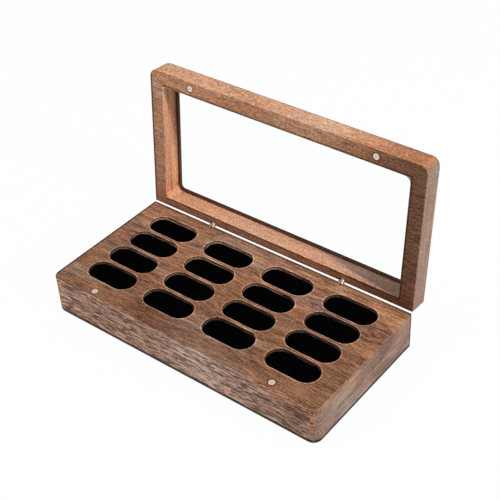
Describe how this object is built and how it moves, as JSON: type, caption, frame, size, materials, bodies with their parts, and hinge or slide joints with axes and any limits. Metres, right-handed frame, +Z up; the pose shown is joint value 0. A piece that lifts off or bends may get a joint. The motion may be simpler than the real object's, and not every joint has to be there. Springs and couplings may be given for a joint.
{
  "type": "ring display box",
  "caption": "Walnut ring display box with rows of velvet ring slots and a glazed lid on two concealed brass hinges, held shut by disc magnets; the lid swings open.",
  "frame": {"origin": "middle of the underside of the block, on the surface it stands on", "axes": "+X along the length of the block, left to right as seen from the front; +Y towards the hinges; +Z up"},
  "size_m": [0.22, 0.1319, 0.1364],
  "materials": {
    "walnut": "oiled walnut, straight grain along the length",
    "pane": "clear, polished",
    "magnet": "nickel plated, bright",
    "hinge": "turned and milled brass, bright",
    "velvet": "black velvet",
    "foam": "open-cell foam, cut"
  },
  "bodies": {
    "base": {"base_block": "walnut", "base_magnet_left": "magnet", "base_magnet_right": "magnet", "hinge_base_peg_left": "hinge", "hinge_base_peg_right": "hinge", "hinge_pin_left": "hinge", "hinge_pin_right": "hinge", "ring_pad_a1": "velvet", "ring_pad_a2": "velvet", "ring_pad_a3": "velvet", "ring_pad_a4": "velvet", "ring_pad_b1": "velvet", "ring_pad_b2": "velvet", "ring_pad_b3": "velvet", "ring_pad_b4": "velvet", "ring_pad_c1": "velvet", "ring_pad_c2": "velvet", "ring_pad_c3": "velvet", "ring_pad_c4": "velvet", "ring_pad_d1": "velvet", "ring_pad_d2": "velvet", "ring_pad_d3": "velvet", "ring_pad_d4": "velvet", "foam_core_a1": "foam", "foam_core_a2": "foam", "foam_core_a3": "foam", "foam_core_a4": "foam", "foam_core_b1": "foam", "foam_core_b2": "foam", "foam_core_b3": "foam", "foam_core_b4": "foam", "foam_core_c1": "foam", "foam_core_c2": "foam", "foam_core_c3": "foam", "foam_core_c4": "foam", "foam_core_d1": "foam", "foam_core_d2": "foam", "foam_core_d3": "foam", "foam_core_d4": "foam"},
    "lid": {"lid_frame": "walnut", "window_pane": "pane", "lid_magnet_left": "magnet", "lid_magnet_right": "magnet", "hinge_lid_peg_left": "hinge", "hinge_lid_peg_right": "hinge"}
  },
  "joints": [
    {"name": "lid_hinge", "type": "hinge", "parent": "base", "child": "lid", "pos_m": [0, 0.0538, 0.03005], "axis": [1, 0, 0], "range_deg": [0, 95]}
  ]
}
